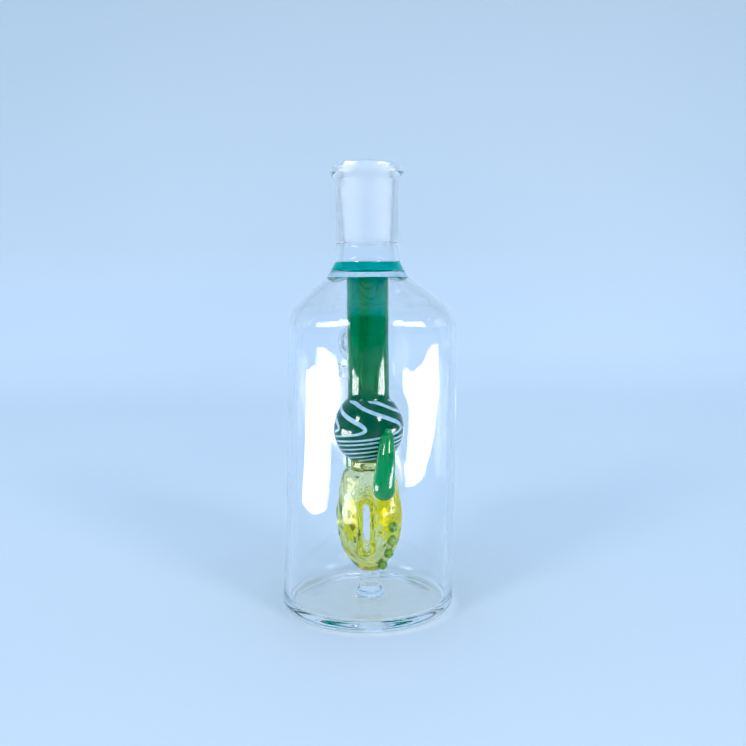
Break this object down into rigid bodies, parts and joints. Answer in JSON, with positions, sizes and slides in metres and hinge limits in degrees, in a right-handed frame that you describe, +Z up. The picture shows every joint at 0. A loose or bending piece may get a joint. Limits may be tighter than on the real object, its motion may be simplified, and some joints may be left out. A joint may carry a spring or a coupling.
{
  "type": "glass bubbler bottle",
  "caption": "Clear glass bottle with a ground joint neck, an inner green tube to a worked ball and yellow bulb, and a rear port: gas bubbles through liquid inside.",
  "frame": {"origin": "middle of the flat bottom, on the bottle's axis", "axes": "+Z up along the bottle's axis, front towards -Y, port on the +Y side, turned 12 degrees towards -X"},
  "size_m": [0.046, 0.063, 0.1205],
  "materials": {
    "clear_glass": "polished, flame worked",
    "ground_glass": "clear outside, ground inside or on the taper",
    "green_glass": "polished, deep green",
    "white_glass": "polished, opaque bluish white",
    "yellow_glass": "polished, transparent yellow",
    "dot_glass": "polished, mottled green",
    "horn_glass": "polished, nearly opaque green"
  },
  "bodies": {
    "root": {"body_tube": "clear_glass", "base_disc": "clear_glass", "neck_joint": "ground_glass", "rim_bead": "clear_glass", "seal_ring": "green_glass", "seal_collar": "clear_glass", "downtube": "green_glass", "worked_ball": "green_glass", "ball_swirls": "white_glass", "ball_rings": "white_glass", "egg_neck": "yellow_glass", "egg_bulb": "yellow_glass", "egg_tunnel": "yellow_glass", "egg_dots_front": "dot_glass", "egg_dots_rear": "dot_glass", "horn_front": "horn_glass", "horn_rear": "horn_glass", "support_stem": "clear_glass", "stem_foot": "clear_glass", "port_collar": "clear_glass", "port_elbow": "clear_glass", "port_joint": "ground_glass"}
  },
  "joints": []
}
